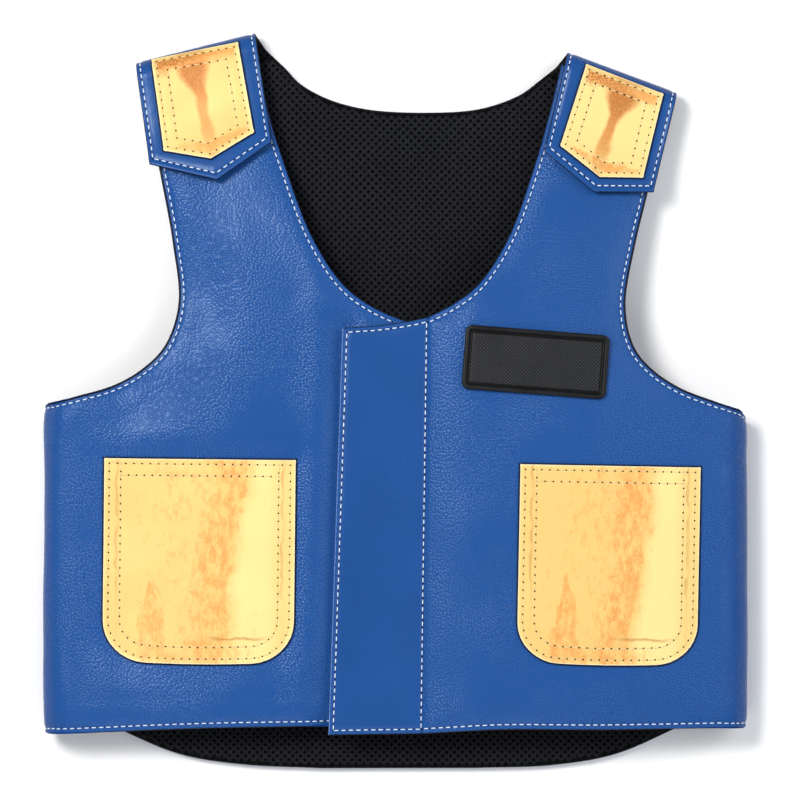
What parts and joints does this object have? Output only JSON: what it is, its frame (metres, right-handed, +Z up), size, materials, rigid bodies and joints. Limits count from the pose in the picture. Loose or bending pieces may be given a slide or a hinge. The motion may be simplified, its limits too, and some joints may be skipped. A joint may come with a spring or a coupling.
{
  "type": "bull riding vest",
  "caption": "Padded leather bull riding vest lying flat, with a flap-over front closure, folded shoulder tabs, gold chest and shoulder patches, a mesh-lined back and a blank rubber badge.",
  "frame": {"origin": "bottom centre of the bounding box, on the surface the vest lies on", "axes": "+X to the wearer's left, +Y from the hem to the shoulders, +Z up out of the chest"},
  "size_m": [0.508, 0.5314, 0.0559],
  "materials": {
    "blue_leather": "pebbled, satin",
    "gold_foil_leather": "smooth metallic foil",
    "black_mesh": "open air mesh, matt",
    "black_rubber": "moulded, matt"
  },
  "bodies": {
    "root": {"back_panel": "blue_leather", "back_lining": "black_mesh", "front_flap": "blue_leather", "badge": "black_rubber", "front_panel_right": "blue_leather", "shoulder_tab_right": "blue_leather", "shoulder_patch_right": "gold_foil_leather", "chest_patch_right": "gold_foil_leather", "front_panel_left": "blue_leather", "shoulder_tab_left": "blue_leather", "shoulder_patch_left": "gold_foil_leather", "chest_patch_left": "gold_foil_leather"}
  },
  "joints": []
}
